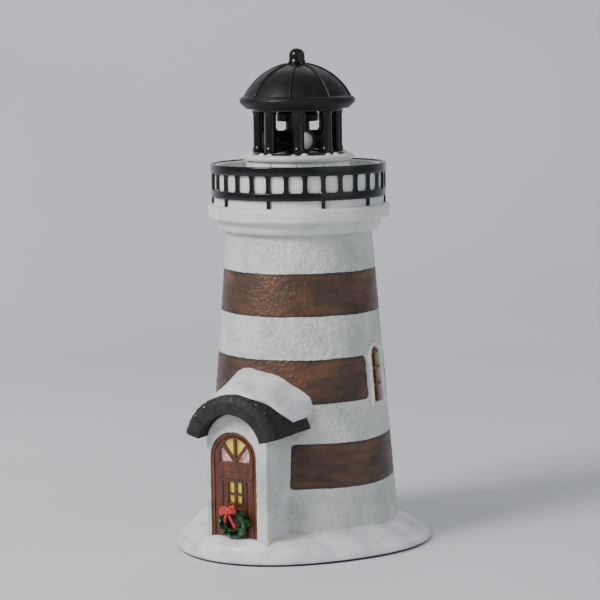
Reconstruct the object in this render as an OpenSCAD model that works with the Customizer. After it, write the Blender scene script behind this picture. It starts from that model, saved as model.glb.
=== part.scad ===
// Lighted lighthouse table ornament: a glazed tower on a snow-covered base, with a porch,
// a railed gallery and a lantern whose beacon head turns on a small geared motor.
// Millimetres. The origin is on the tower's axis in the plane of the table, +Z is up and
// the porch door faces -Y. Headings are measured from the door's side, positive towards +X.

/* [Base] */
// Mean radius of the snow-covered base
base_r = 55.2; // [54:0.1:57]
// Height of the seat that carries the tower and the porch
seat_z = 8.6; // [8.2:0.1:9]
// Height of the snow at the foot of the tower
snow_z = 9.7; // [9.2:0.1:11]
// Thickness of the felt ring under the base
felt_t = 1; // [0.8:0.1:1]

/* [Tower] */
// Outer radius of the tower at its foot
tower_foot_r = 42.2; // [41.5:0.1:42.5]
// Outer radius of the tower under the cornice
tower_neck_r = 31.6; // [31.4:0.1:32.5]
// Height of the tower's upper end
tower_top_z = 136.5; // [136:0.1:136.5]
// Thickness of the tower's wall
tower_wall = 3.5; // [3:0.1:3.6]

/* [Side window] */
// Height of the middle of the side window
window_z = 74.8; // [70:0.1:90]
// Outer width of the side window's frame
window_w = 11.6; // [10:0.1:13]
// Outer height of the side window's frame
window_h = 27.6; // [24:0.1:30]

/* [Porch] */
// Half the width of the porch
porch_half_w = 15; // [14.5:0.1:15.2]
// Distance from the tower's axis to the porch's front wall
porch_face = 57.3; // [56.5:0.1:57.5]
// Height at which the porch's walls turn into the arch
porch_spring_z = 49.2; // [48:0.1:50]
// Outer radius of the porch's barrel roof
roof_r = 22.8; // [21:0.1:23.5]
// How far the roof stands out in front of the porch
roof_overhang = 6; // [4:0.1:6.2]
// Sideways offset of the door from the middle of the porch
door_x = -1.5; // [-2:0.1:0]
// Half the width of the door frame
door_frame_half_w = 11; // [10:0.1:11.5]

/* [Gallery] */
// Radius of the lower cornice ring
cornice_r = 35.5; // [34:0.1:36]
// Radius of the upper cornice ring
ledge_r = 39.6; // [38.6:0.1:40.5]
// Outer radius of the parapet wall
parapet_r = 36.8; // [36.4:0.1:37.2]
// Number of upright bars in the railing
rail_bars = 30; // [20:10:30]

/* [Lantern] */
// Radius of the round pedestal under the lantern
pedestal_r = 22.6; // [22:0.1:23]
// Outer radius of the ring of lantern columns
lantern_r = 19.7; // [19.2:0.1:19.9]
// Number of lantern columns
columns = 8; // [6:1:8]
// Height of the whole ornament
total_h = 215; // [213:0.1:217]

/* [Beacon] */
// Height of the beam's axis
beam_z = 175.3; // [175.3:0.1:177]
// Number of lenses around the beacon head
lenses = 4; // [2:1:4]
// Heading of the first lens
lens_heading = 43.5; // [0:0.5:89]

/* [Drive] */
// Gear module
gear_m = 0.7; // [0.7:0.05:0.75]
// Teeth on the drive gear
gear_teeth = 36; // [36:2:36]
// Teeth on the motor pinion
pinion_teeth = 12; // [12:1:12]

/* [Power] */
// Diameter of one cell
cell_d = 14.2; // [13.8:0.1:14.3]
// Length of one cell, with its button
cell_l = 50.5; // [49.5:0.1:50.5]
// Travel of the power switch
switch_travel = 3; // [2:0.1:3]

/* [Hidden] */

$fn = 96;
fit = 0.05;        // gap between fixed pieces that fit into each other
clear = 0.1;       // gap between cast pieces that are glued together
run = 0.06;        // radial gap of a running fit
eps = 1;           // how far a cutting tool runs past a face

// Tower
tower_h = tower_top_z - seat_z;
tower_taper = atan((tower_foot_r - tower_neck_r) / tower_h);

// Well in the base and the cover that closes it
well_r = 34.5;
cover_r = 37.3;
cover_z0 = 1.2;
cover_z1 = 3.7;
ledge_z = 3.8;

// Porch and door
porch_wall = 2.6;
front_wall = 3;
porch_back = 20;
roof_in_r = porch_half_w + clear;
roof_tip_angle = 14.6;
roof_bevel = 4;
door_y = 54.4;                    // back of the door frame, leaf and tracery
door_leaf_half_w = door_frame_half_w - 2.25;
door_spring_z = 44.6;
transom_z = 36.5;
fan_z = 42.7;
fan_half_w = 7.2;
fan_spring_z = 45.5;
door_window = [6.3, 8.8];
door_window_z = 25.3;

// Gallery and lantern heights
ledge_z0 = 141.8;
ledge_z1 = 147.9;
parapet_z1 = 165;
parapet_in_r = 34.3;
gallery_in_r = 28.3;
deck_z0 = 153.5;
deck_z1 = 156;
pedestal_z0 = deck_z1 + fit;
pedestal_z1 = 169.3;
pedestal_in_r = 19.2;
column_r = 2.8;
column_ring_r = lantern_r - column_r;
column_heading = 30;
eave_z = 188.9;
dome_r = 25.7;
dome_c = 182.6;
dome_wall = 1.8;
dome_top_z = 208.2;
rib_heading = 21;

// Beacon head
spindle_r = 1.8;
sleeve_r = 3.4;
head_r = 5.2;
head_z0 = 170.05;
head_z1 = 183.4;
cap_r = 9.1;
lens_r = 3.8;
lens_ring_r = 5.1;
lens_face = 11.2;

// Gear drive under the deck
plate_z0 = 144;
plate_z1 = 146;
gear_z0 = 147.2;
gear_z1 = 151.2;
gear_centres = gear_m * (gear_teeth + pinion_teeth) / 2;
motor_r = 10.2;
motor_l = 25;
plate_post_r = 22.5;
plate_post_headings = [0, 125, -125];

// Battery compartment in the well
box_in = [56.4, 30.4];
box_wall = 1.2;
box_z1 = 20.2;
cell_pitch = 15.2;
cell_z = 11.5;
door_half = [26.2, 14.8];
hinge_y = -15.6;
hinge_z = 2.45;
switch_y = 24.5;
cover_screw_r = 31;
cover_screw_angles = [60, 120, 240, 300];

// ---------------------------------------------------------------- helpers

function tower_r(z) = tower_foot_r + (tower_neck_r - tower_foot_r) * (z - seat_z) / tower_h;
function smooth(t) = let (u = min(1, max(0, t))) u * u * (3 - 2 * u);
function bump(angle, centre, width) = let (d = (angle - centre) / width) exp(-d * d);
// A heading as a direction in the plane
function heading(h) = [sin(h), -cos(h)];

// The outline of the base, which bulges in front of the door
function outline(h) = base_r + 2.2 * cos(h + 20) + 3.3 * cos(3 * (h + 15))
                      + 4 * pow(max(0, cos(h - 14)), 3);

// Height of the snow at a heading and a distance in from the outline
function snow_height(h, d) =
    let (front = pow(max(0, cos(h - 5)), 4),
         rim = 2.5 + 4.2 * front,
         foot = snow_z + 3.4 * bump(h, -55, 26) + 0.9 * bump(h, 65, 30) - 1 * bump(h, 180, 70),
         edge = 1 - min(1, d / 2.5),
         run_up = smooth((d - 1) / (12 - 8 * front)))
    felt_t + rim * sqrt(1 - edge * edge) + (foot - felt_t - rim) * run_up;

// Closes a grid of points, rows of equal length around a ring, into a solid
module ring_solid(rows) {
    n = len(rows[0]);
    m = len(rows);
    pts = [for (row = rows) each row];
    sides = [for (j = [0 : m - 2], i = [0 : n - 1])
        let (a = j * n + i, b = j * n + (i + 1) % n) each [[a, b + n, b], [a, a + n, b + n]]];
    polyhedron(concat(pts), concat(sides, [[for (i = [0 : n - 1]) i]],
                                   [[for (i = [n - 1 : -1 : 0]) (m - 1) * n + i]]), convexity = 6);
}

// A round wire swept along a route of points
function unit(v) = v / norm(v);
function tangent(p, i) = unit(p[min(i + 1, len(p) - 1)] - p[max(i - 1, 0)]);
function side_of(t) = unit(cross(t, abs(t[2]) > 0.9 ? [1, 0, 0] : [0, 0, 1]));
function carried(p, i) = i == 0 ? side_of(tangent(p, 0))
    : let (t = tangent(p, i), s = carried(p, i - 1)) unit(s - (s * t) * t);
module wire(route, r, sides = 8) {
    rows = [for (i = [0 : len(route) - 1])
        let (t = tangent(route, i), u = carried(route, i), v = cross(t, u))
        [for (k = [0 : sides - 1]) let (a = 360 * k / sides) route[i] + r * (cos(a) * u + sin(a) * v)]];
    ring_solid(rows);
}
// A smooth route through a few points, with steps in between
function spline(p, steps) = concat([for (i = [0 : len(p) - 2], k = [0 : steps - 1])
    let (t = k / steps, a = p[max(0, i - 1)], b = p[i], c = p[i + 1], d = p[min(len(p) - 1, i + 2)])
    0.5 * (2 * b + (c - a) * t + (2 * a - 5 * b + 4 * c - d) * t * t
           + (3 * b - 3 * c + d - a) * t * t * t)], [p[len(p) - 1]]);

// An upright arch: a rectangle with a half-round top
module arch(half_w, foot_z, spring_z, x = 0) {
    translate([x - half_w, foot_z]) square([2 * half_w, spring_z - foot_z]);
    intersection() {
        translate([x, spring_z]) circle(half_w);
        translate([x - half_w, foot_z]) square([2 * half_w, spring_z - foot_z + half_w]);
    }
}
// Stands a flat outline upright and gives it depth from y = -near to y = -far
module facing_front(near, far) {
    rotate([90, 0, 0]) translate([0, 0, near]) linear_extrude(far - near) children();
}
// Places children on the tower's +X side, upright outlines facing out, tilted with the wall
module at_side_window() {
    translate([tower_r(window_z), 0, window_z]) rotate([0, -tower_taper, 0]) children();
}
module facing_out(near, far) {
    rotate([90, 0, 90]) translate([0, 0, near]) linear_extrude(far - near) children();
}
module window_arch(half_w) {
    arch(half_w, window_w / 2 - half_w - window_h / 2, window_h / 2 - window_w / 2);
}
module tower_solid(gap = 0) {
    translate([0, 0, seat_z]) cylinder(r1 = tower_foot_r + gap, r2 = tower_neck_r + gap, h = tower_h);
}
module ring(r_out, r_in, z0, z1) {
    translate([0, 0, z0]) difference() {
        cylinder(r = r_out, h = z1 - z0);
        translate([0, 0, -eps]) cylinder(r = r_in, h = z1 - z0 + 2 * eps);
    }
}
module rod(r, z0, z1) {
    translate([0, 0, z0]) cylinder(r = r, h = z1 - z0);
}
module at_heading(h, r) {
    rotate([0, 0, h - 90]) translate([r, 0, 0]) children();
}
// A screw that points up, with its head at z0
module screw(head_r, head_h, shank_r, z0, z1) {
    rod(head_r, z0, z0 + head_h);
    rod(shank_r, z0 + head_h / 2, z1);
}
// A spur gear's outline: straight-flanked teeth on the root circle
module gear_outline(teeth, phase = 0) {
    pitch_r = gear_m * teeth / 2;
    tooth = 360 / teeth;
    circle(pitch_r - 1.25 * gear_m);
    for (k = [0 : teeth - 1]) rotate(phase + k * tooth) polygon([
        [pitch_r - 1.5 * gear_m, -0.8 * gear_m], [pitch_r, -0.68 * gear_m],
        [pitch_r + 0.95 * gear_m, -0.28 * gear_m], [pitch_r + 0.95 * gear_m, 0.28 * gear_m],
        [pitch_r, 0.68 * gear_m], [pitch_r - 1.5 * gear_m, 0.8 * gear_m]]);
}

// ---------------------------------------------------------------- base and tower

module felt_pad() {
    inset = 1.2;
    color("dimgray") linear_extrude(felt_t) difference() {
        polygon([for (h = [0 : 5 : 355]) (outline(h) - inset) * heading(h)]);
        circle(r = cover_r + 2.2);
    }
}

module snow_base() {
    depths = [0, 0.25, 0.8, 1.6, 2.6, 3.8, 5.5, 8, 11, 15, 19];
    rows = concat(
        [[for (h = [0 : 5 : 355]) let (p = outline(h) * heading(h)) [p[0], p[1], felt_t]]],
        [for (k = [1 : len(depths) - 1]) [for (h = [0 : 5 : 355])
            let (d = min(depths[k], outline(h) - 30), p = (outline(h) - d) * heading(h))
            [p[0], p[1], snow_height(h, depths[k])]]],
        [[for (h = [0 : 5 : 355]) let (p = 20 * heading(h)) [p[0], p[1], snow_z]]]);
    color("white") difference() {
        ring_solid(rows);
        tower_solid(clear);
        translate([0, 0, seat_z]) cylinder(r = tower_foot_r - 2, h = 20);
        facing_front(porch_back, porch_face + clear)
            arch(porch_half_w + clear, seat_z, porch_spring_z);
        translate([0, 0, -eps]) cylinder(r = well_r, h = 30);
        translate([0, 0, -eps]) cylinder(r = cover_r + 0.2, h = ledge_z + eps);
    }
}

module tower_shell() {
    color("gainsboro") difference() {
        tower_solid();
        translate([0, 0, seat_z]) cylinder(r1 = tower_foot_r - tower_wall,
                                           r2 = tower_neck_r - tower_wall, h = tower_h);
        at_side_window() facing_out(-12, 6) window_arch(window_w / 2 + clear);
        facing_front(porch_back, porch_face) arch(9, seat_z + 4, 46);
    }
}

module side_window_frame() {
    color("whitesmoke") at_side_window() facing_out(-4, 1.3) difference() {
        window_arch(window_w / 2);
        window_arch(window_w / 2 - 1.9);
    }
}

module side_window_muntins() {
    bar = 0.9;
    color("saddlebrown") at_side_window() facing_out(-0.9, 0.4) intersection() {
        window_arch(window_w / 2 - 1.9 - fit);
        union() {
            translate([-bar / 2, -window_h / 2]) square([bar, window_h]);
            for (z = [-5, 2.2, 9]) translate([-window_w / 2, z]) square([window_w, bar]);
        }
    }
}

module side_window_pane() {
    color("khaki", 0.8) at_side_window() facing_out(-2, -1) window_arch(window_w / 2 - 1.9 - fit);
}

// ---------------------------------------------------------------- porch

module porch_walls() {
    color("white") difference() {
        facing_front(porch_back, porch_face) arch(porch_half_w, seat_z, porch_spring_z);
        facing_front(porch_back - eps, porch_face - front_wall)
            arch(porch_half_w - porch_wall, seat_z - eps, porch_spring_z);
        facing_front(porch_back, porch_face + eps)
            arch(door_frame_half_w + fit, seat_z - eps, door_spring_z, door_x);
        tower_solid(clear);
    }
}

module porch_roof() {
    front = porch_face + roof_overhang;
    reach = 2 * roof_r;
    tip = [cos(roof_tip_angle), sin(roof_tip_angle)] * reach;
    color("dimgray") difference() {
        translate([0, 0, porch_spring_z]) rotate([90, 0, 0]) difference() {
            union() {
                translate([0, 0, porch_back]) cylinder(r = roof_r, h = front - porch_back - roof_bevel);
                translate([0, 0, front - roof_bevel])
                    cylinder(r1 = roof_r, r2 = roof_r - 2.6, h = roof_bevel);
            }
            translate([0, 0, porch_back - eps]) cylinder(r = roof_in_r, h = front);
            translate([0, 0, porch_back - eps]) linear_extrude(front)
                polygon([[0, 0], tip, [reach, -reach], [-reach, -reach], [-tip[0], tip[1]]]);
        }
        tower_solid(clear);
    }
}

module porch_roof_snow() {
    // Each row of points goes out along the roof at one angle, from the tower to the snow's
    // front edge, and back along the roof's surface
    gap = 0.2;
    function edge_y(a) = let (up = a < 90 ? a : 180 - a)
        44.6 + 14 * sin(90 * min(1, max(0, (up - 26) / 62))) - 3 * bump(a, 140, 16);
    function wall_y(x, z) = sqrt(pow(tower_r(z) + gap, 2) - x * x);
    function depth(a, s) = 2.2 + 3.4 * (1 - s) * (1 - s) + 2.5 * bump(a, 105, 22) * (1 - s)
                           + 0.3 * sin(11 * a + 200 * s);
    function taper(a) = sqrt(1.02 - pow((a - 90) / 63, 6));
    function at(a, r, s) = let (x = r * cos(a), z = porch_spring_z + r * sin(a), y0 = wall_y(x, z))
        [x, -y0 - (edge_y(a) - y0) * s, z];
    roof = roof_r + clear;
    rows = [for (a = [27 : 6.3 : 153]) concat(
        [for (s = [0, 0.25, 0.5, 0.72, 0.88, 0.97])
            at(a, roof + depth(a, s) * taper(a) * sqrt(1 - pow(s, 8)), s)],
        [for (s = [1, 0]) at(a, roof, s)])];
    color("white") ring_solid(rows);
}

module door_frame() {
    color("saddlebrown") facing_front(door_y, porch_face - 0.8) difference() {
        arch(door_frame_half_w, seat_z + fit, door_spring_z, door_x);
        arch(door_leaf_half_w + fit, seat_z - eps, door_spring_z, door_x);
    }
}

// The door's window with its bars, in the plane of the leaf
module door_window_lights() {
    bar = 1.1;
    translate([door_x, door_window_z]) difference() {
        translate([-door_window[0] / 2, 0]) square(door_window);
        translate([-bar / 2, -eps]) square([bar, door_window[1] + 2 * eps]);
        translate([-door_window[0] / 2 - eps, 3.1]) square([door_window[0] + 2 * eps, bar]);
    }
}

module door_leaf() {
    panel_half_w = 5;
    color("sienna") {
        difference() {
            facing_front(door_y, door_y + 1.4) translate([door_x - door_leaf_half_w, seat_z + 0.2])
                square([2 * door_leaf_half_w, transom_z - seat_z - 0.3]);
            facing_front(door_y - eps, door_y + 3) door_window_lights();
            for (side = [-1, 1]) facing_front(door_y + 1, door_y + 3)
                translate([door_x + side * (panel_half_w + 0.8) - 0.4, seat_z + 2])
                    square([0.8, transom_z - seat_z - 4]);
        }
    }
}

module fanlight_tracery() {
    color("sienna") facing_front(door_y, door_y + 1.6) difference() {
        arch(door_leaf_half_w, transom_z, door_spring_z, door_x);
        difference() {
            arch(fan_half_w, fan_z, fan_spring_z, door_x);
            translate([door_x, fan_z]) for (a = [52, 90, 128]) rotate(a) translate([0, -0.55])
                square([20, 1.1]);
        }
    }
}

module door_window_pane() {
    color("khaki", 0.8) facing_front(door_y - 0.85, door_y - fit) translate([door_x, door_window_z])
        translate([-door_window[0] / 2 - 1, -1]) square([door_window[0] + 2, door_window[1] + 2]);
}

module fanlight_pane() {
    color("khaki", 0.8) facing_front(door_y - 0.85, door_y - fit)
        arch(fan_half_w + 0.9, fan_z - 0.9, fan_spring_z, door_x);
}

wreath_at = [door_x + 0.3, -(door_y + 3.5), 16.7];
bow_seat = 0.6;                   // the wreath's front is flat here, behind the bow
module door_wreath() {
    color("darkgreen") translate(wreath_at) rotate([90, 0, 0]) difference() {
        rotate_extrude() translate([4.9, 0]) circle(2, $fn = 32);
        translate([-7.4, 0.4, bow_seat]) cube([12, 10, 3]);
    }
}

module wreath_bow() {
    loop_r = 2.1;
    tail_y = -5.4;
    color("firebrick") translate(wreath_at) rotate([90, 0, 0])
        translate([-1.3, 6.3, bow_seat + fit]) {
            for (side = [-1, 1]) {
                translate([side * 2.2, 0.4, 0]) cylinder(r = loop_r, h = 1.6);
                linear_extrude(1) rotate(side * 24) translate([-0.8, tail_y]) square([1.6, -tail_y]);
            }
            cylinder(r = 1.2, h = 2.2);
        }
}

// ---------------------------------------------------------------- gallery and lantern

module gallery() {
    soft = 0.8;
    color("gainsboro") difference() {
        rotate_extrude() polygon([
            [gallery_in_r, tower_top_z], [cornice_r - 1.6, tower_top_z],
            [cornice_r, tower_top_z + 1.6], [cornice_r, ledge_z0],
            [ledge_r - soft, ledge_z0], [ledge_r, ledge_z0 + soft],
            [ledge_r, ledge_z1 - soft], [ledge_r - soft, ledge_z1],
            [parapet_r, ledge_z1], [parapet_r, parapet_z1], [parapet_in_r, parapet_z1],
            [parapet_in_r, deck_z1], [10, deck_z1], [10, deck_z0], [gallery_in_r, deck_z0]]);
        for (h = plate_post_headings) rotate([0, 0, h]) translate([plate_post_r, 0, 0])
            rod(1, deck_z0 - eps, deck_z0 + 2.1);
    }
}

module gallery_railing() {
    rail_in_r = parapet_r + clear;
    color("black") {
        ring(rail_in_r + 1.2, rail_in_r, 151.2, 154.6);
        ring(rail_in_r + 1.4, rail_in_r, 161.6, 165.6);
        for (k = [0 : rail_bars - 1]) at_heading(9 + 360 * k / rail_bars, rail_in_r)
            translate([0.1, -1, 154]) cube([1, 2, 8]);
        for (k = [0 : 9]) at_heading(9 + 36 * k, rail_in_r)
            translate([0.1, -0.95, ledge_z1 + fit]) cube([0.95, 1.9, 4]);
    }
}

module lantern_pedestal() {
    flange_r = pedestal_r + 1.8;
    joint = 0.5;
    color("silver") difference() {
        rotate_extrude() polygon([
            [pedestal_in_r, pedestal_z0], [pedestal_r, pedestal_z0],
            [pedestal_r, 166.7], [flange_r - 0.4, 167.1], [flange_r, 167.6], [flange_r, 168.4],
            [flange_r - 1, pedestal_z1], [5.6, pedestal_z1], [5.6, 167], [pedestal_in_r, 167]]);
        for (k = [0 : 11]) at_heading(27.4 + 30 * k, pedestal_r)
            translate([-joint, -joint / 2, pedestal_z0 - eps]) cube([2, joint, 166 - pedestal_z0 + eps]);
    }
}

module lantern_frame() {
    color("black") {
        ring(lantern_r + 0.2, 14.2, pedestal_z1 + fit, pedestal_z1 + 1.2);
        ring(lantern_r + 0.2, 14.2, 188, 191.1);
        for (k = [0 : columns - 1]) at_heading(column_heading + 360 * k / columns, column_ring_r)
            rod(column_r, pedestal_z1 + 0.6, 188.6);
    }
}

// Points of an arc of a circle centred on the axis at height dome_c, from radius r0 to r1
function dome_arc(r, r0, r1, n) = [for (k = [0 : n])
    let (x = r0 + (r1 - r0) * sin(90 * k / n)) [x, dome_c + sqrt(r * r - x * x)]];

module dome_roof() {
    socket_r = lantern_r + 0.3;
    color("black") {
        difference() {
            rotate_extrude() polygon(concat(
                [[socket_r, eave_z], [22.2, eave_z], [23.4, 190], [25, 191.4], [25.3, 192.6],
                 [24.6, 193.8]],
                [for (k = [12 : -1 : 0]) let (p = dome_arc(dome_r, 4, 23, 12)[k]) p],
                [[1.55, dome_top_z], [1.55, 206.4]],
                dome_arc(dome_r - dome_wall, 4, 21, 8), [[socket_r, 191.2]]));
        }
        difference() {
            intersection() {
                translate([0, 0, dome_c]) sphere(dome_r + 0.7);
                for (k = [0 : 3]) rotate([0, 0, rib_heading + 45 * k])
                    translate([-30, -0.7, 194.2]) cube([60, 1.4, 13.6]);
            }
            translate([0, 0, dome_c]) sphere(dome_r - 0.4);
            rod(4.2, 190, 212);
        }
    }
}

module finial() {
    color("black") rotate_extrude() polygon(concat(
        [[0, 206.2], [1.5, 206.2], [1.5, dome_top_z + fit], [3.9, dome_top_z + fit], [3.9, 209.4],
         [3.4, 209.8], [3.5, 211.6]],
        [for (k = [1 : 8]) [3.5 * cos(90 * k / 8), 211.6 + (total_h - 211.6) * sin(90 * k / 8)]]));
}

// ---------------------------------------------------------------- beacon

module lantern_bush() {
    color("goldenrod") {
        ring(5.55, sleeve_r + run, 165.8, pedestal_z1 + fit);
        ring(7.2, sleeve_r + run, pedestal_z1 + fit, head_z0 - 0.1);
    }
}

module beacon_spindle() {
    color("lightgray") {
        ring(spindle_r, 1.1, plate_z0 - 1.15, 171.5);
        ring(3.6, 1.1, plate_z0 - 1.15, plate_z0 - fit);
    }
}

module beacon_lamp() {
    color("ivory") {
        rod(2.9, 171.55, 172.4);
        rod(2.4, 172, 177);
        translate([0, 0, 177]) sphere(2.4);
    }
}

module at_lenses() {
    for (k = [0 : lenses - 1]) rotate([0, 0, lens_heading + 360 * k / lenses - 90])
        translate([0, 0, beam_z]) rotate([0, 90, 0]) children();
}

module beacon_body() {
    color("black") difference() {
        union() {
            rod(sleeve_r, plate_z1 + 0.6, head_z0 + 1);
            rod(head_r, head_z0, head_z1);
            at_lenses() rod(lens_ring_r - 0.9, 4.4, lens_face - 1.6);
        }
        rod(spindle_r + run, plate_z1 - eps, 172);
        rod(4.2, 171.4, head_z1 + eps);
        at_lenses() rod(lens_r - 1, 3, lens_face);
    }
}

module beacon_lens_rings() {
    color("black") at_lenses() ring(lens_ring_r, lens_r + fit, lens_face - 1.55, lens_face);
}

module bullseye_lenses() {
    bulge_r = 6.6;
    color("white") at_lenses() intersection() {
        rod(lens_r, lens_face - 1.5, lens_face + 2);
        translate([0, 0, lens_face + 0.7 - bulge_r]) sphere(bulge_r);
    }
}

module beacon_cap() {
    color("black") {
        rod(4.15, head_z1 - 1.5, head_z1 + 0.5);
        rotate_extrude() polygon([[0, head_z1 + fit], [cap_r - 0.4, head_z1 + fit],
            [cap_r, head_z1 + 0.5], [cap_r, 186.6], [cap_r - 0.9, 187.6], [0, 187.9]]);
    }
}

// ---------------------------------------------------------------- drive

module drive_gear() {
    color("ivory") difference() {
        union() {
            translate([0, 0, gear_z0]) linear_extrude(gear_z1 - gear_z0) gear_outline(gear_teeth);
            rod(5.6, gear_z0, gear_z1 + 1.4);
        }
        rod(sleeve_r + fit, gear_z0 - eps, gear_z1 + 2);
        for (k = [0 : 5]) rotate([0, 0, 30 + 60 * k]) translate([8.3, 0, 0])
            rod(1.6, gear_z0 - eps, gear_z1 + eps);
    }
}

module at_motor() {
    translate([-gear_centres, 0, 0]) children();
}

module motor_shaft() {
    color("silver") at_motor() rod(1, 140.5, gear_z1 + 0.8);
}

module motor_pinion() {
    color("ivory") at_motor() difference() {
        translate([0, 0, gear_z0]) linear_extrude(gear_z1 - gear_z0)
            gear_outline(pinion_teeth, 180 / pinion_teeth);
        rod(1 + fit / 2, gear_z0 - eps, gear_z1 + eps);
    }
}

module gear_motor() {
    color("silver") at_motor() difference() {
        union() {
            rod(motor_r, plate_z0 - fit - 8, plate_z0 - fit);
            rod(motor_r - 0.5, plate_z0 - fit - motor_l, plate_z0 - fit - 8);
            rod(3, plate_z0 - fit - motor_l - 1.5, plate_z0 - fit - motor_l + 1);
            rod(2.5, plate_z0 - 1, plate_z0 + 1.2);
        }
        rod(1 + run, 140, plate_z0 + 2);
        for (side = [-1, 1]) translate([0, side * 7.4, 0]) rod(0.85, 140, plate_z0 + 1);
    }
}

module motor_screws() {
    color("dimgray") at_motor() for (side = [-1, 1]) translate([0, side * 7.4, 0])
        difference() {
            union() {
                rod(1.7, plate_z1 + fit, plate_z1 + 1);
                rod(0.8, 140.5, plate_z1 + 0.5);
            }
            translate([-2, -0.25, plate_z1 + 0.6]) cube([4, 0.5, 1]);
        }
}

module drive_plate() {
    color("steelblue") difference() {
        union() {
            rod(27.4, plate_z0, plate_z1);
            for (h = plate_post_headings) rotate([0, 0, h]) translate([plate_post_r, 0, 0])
                rod(3, plate_z0, deck_z0 - fit);
        }
        rod(spindle_r + 0.02, plate_z0 - eps, plate_z1 + eps);
        at_motor() rod(2.6, plate_z0 - eps, plate_z1 + eps);
        at_motor() for (side = [-1, 1]) translate([0, side * 7.4, 0])
            rod(0.9, plate_z0 - eps, plate_z1 + eps);
        for (h = plate_post_headings) rotate([0, 0, h]) translate([plate_post_r, 0, 0])
            rod(1.05, plate_z0 - eps, deck_z0 + eps);
    }
}

module drive_plate_screws() {
    color("dimgray") for (h = plate_post_headings) rotate([0, 0, h]) translate([plate_post_r, 0, 0])
        difference() {
            screw(2.2, 1.3, 0.95, plate_z0 - fit - 1.3, deck_z0 + 2);
            translate([-3, -0.3, plate_z0 - 2]) cube([6, 0.6, 1.2]);
        }
}

// ---------------------------------------------------------------- lamp inside the tower

module lamp_post() {
    foot_z = box_z1 + fit;
    color("white") difference() {
        union() {
            rod(9, foot_z, foot_z + 1.5);
            rod(3.6, foot_z, 46);
        }
        rod(2.2, foot_z - eps, 47);
        for (side = [-1, 1]) translate([side * 6.4, 0, 0]) rod(1, foot_z - eps, foot_z + 3);
        translate([0, 0, 26]) rotate([-90, 0, 0]) cylinder(r = 1.5, h = 8);
    }
}

module lamp_post_screws() {
    color("dimgray") for (side = [-1, 1]) translate([side * 6.4, 0, 0]) {
        rod(1.9, box_z1 + 1.6, box_z1 + 2.7);
        rod(0.9, box_z1 - 1.4, box_z1 + 2);
    }
}

module lamp_socket() {
    color("beige") difference() {
        rod(5.6, 46 + fit, 51);
        rod(4.4, 47.5, 52);
        rod(1.2, 46 - eps, 48);
    }
}

module tower_lamp_bulb() {
    color("lightyellow") {
        rod(4.35, 47.6, 52);
        rod(4.9, 51.1, 56);
        translate([0, 0, 56]) sphere(4.9);
    }
}

// ---------------------------------------------------------------- power

module battery_box() {
    outer = box_in + [2 * box_wall, 2 * box_wall];
    color("darkslategray") difference() {
        translate([-outer[0] / 2, -outer[1] / 2, cover_z1 + fit])
            cube([outer[0], outer[1], box_z1 - cover_z1 - fit]);
        translate([-box_in[0] / 2, -box_in[1] / 2, cover_z1 - eps])
            cube([box_in[0], box_in[1], box_z1 - box_wall - cover_z1 + eps]);
        for (side = [-1, 1]) translate([side * 6.4, 0, 0]) rod(1, box_z1 - 3, box_z1 + eps);
    }
}

// Repeats children for the two cells, which point opposite ways
module at_cells() {
    for (side = [-1, 1]) scale([1, 1, 1]) rotate([0, 0, side > 0 ? 180 : 0])
        translate([0, -cell_pitch / 2, cell_z]) rotate([0, 90, 0]) children();
}

module battery_cells() {
    button_end = box_in[0] / 2 - 0.6;
    color("royalblue") at_cells() {
        rod(cell_d / 2, button_end - cell_l, button_end - 1);
        rod(2.7, button_end - 1.5, button_end);
    }
}

module battery_contacts() {
    wall_x = box_in[0] / 2 - fit;
    color("gold") {
        for (side = [-1, 1]) at_cells() translate([-4.5, -4.5, side > 0 ? wall_x - 0.4 : -wall_x])
            cube([9, 9, 0.4]);
    }
}

module battery_springs() {
    wall_x = box_in[0] / 2 - fit - 0.45;
    cell_end = -(cell_l - (box_in[0] / 2 - 0.6)) - 0.1;
    turns = 3;
    color("silver") at_cells() wire([for (k = [0 : 12 * turns])
        let (t = k / (12 * turns), a = 30 * k, r = 4 - 1.4 * t)
        [r * cos(a), r * sin(a), -wall_x + 0.35 + (wall_x + cell_end - 0.7) * t]], 0.3, 6);
}

module base_cover() {
    color("gray") difference() {
        rod(cover_r, cover_z0, cover_z1);
        translate([-door_half[0] - 0.3, hinge_y - 1.4, cover_z0 - eps])
            cube([2 * door_half[0] + 0.6, door_half[1] + 0.3 - hinge_y + 1.4, cover_z1]);
        translate([-door_half[0] - 1.9, hinge_y, hinge_z]) rotate([0, 90, 0])
            cylinder(r = 0.75, h = 2 * door_half[0] + 3.8);
        translate([-3.2, switch_y - 1.9, cover_z0 - eps]) cube([6.4, 3.8, 5]);
        for (a = cover_screw_angles) rotate([0, 0, a]) translate([cover_screw_r, 0, 0]) {
            rod(1.5, cover_z0 - eps, cover_z1 + eps);
            translate([0, 0, cover_z0 - 0.01]) cylinder(r1 = 2.9, r2 = 1.5, h = 1.4);
        }
    }
}

module cover_screws() {
    color("dimgray") for (a = cover_screw_angles) rotate([0, 0, a]) translate([cover_screw_r, 0, 0])
        difference() {
            union() {
                translate([0, 0, cover_z0 + 0.1]) cylinder(r1 = 2.7, r2 = 1.3, h = 1.35);
                rod(1.3, cover_z0 + 1.2, 13.5);
            }
            for (turn = [0, 90]) rotate([0, 0, turn]) translate([-1.4, -0.25, cover_z0 - eps])
                cube([2.8, 0.5, 1.8]);
        }
}

module anchor_blocks() {
    color("tan") for (a = cover_screw_angles) rotate([0, 0, a]) difference() {
        union() {
            translate([27.8, -4, ledge_z]) cube([6.2, 8, 11.2]);
            translate([27.8, -4, seat_z + clear]) cube([9.2, 8, 15 - seat_z - clear]);
        }
        translate([cover_screw_r, 0, 0]) rod(1.35, ledge_z - eps, 16);
    }
}

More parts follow.
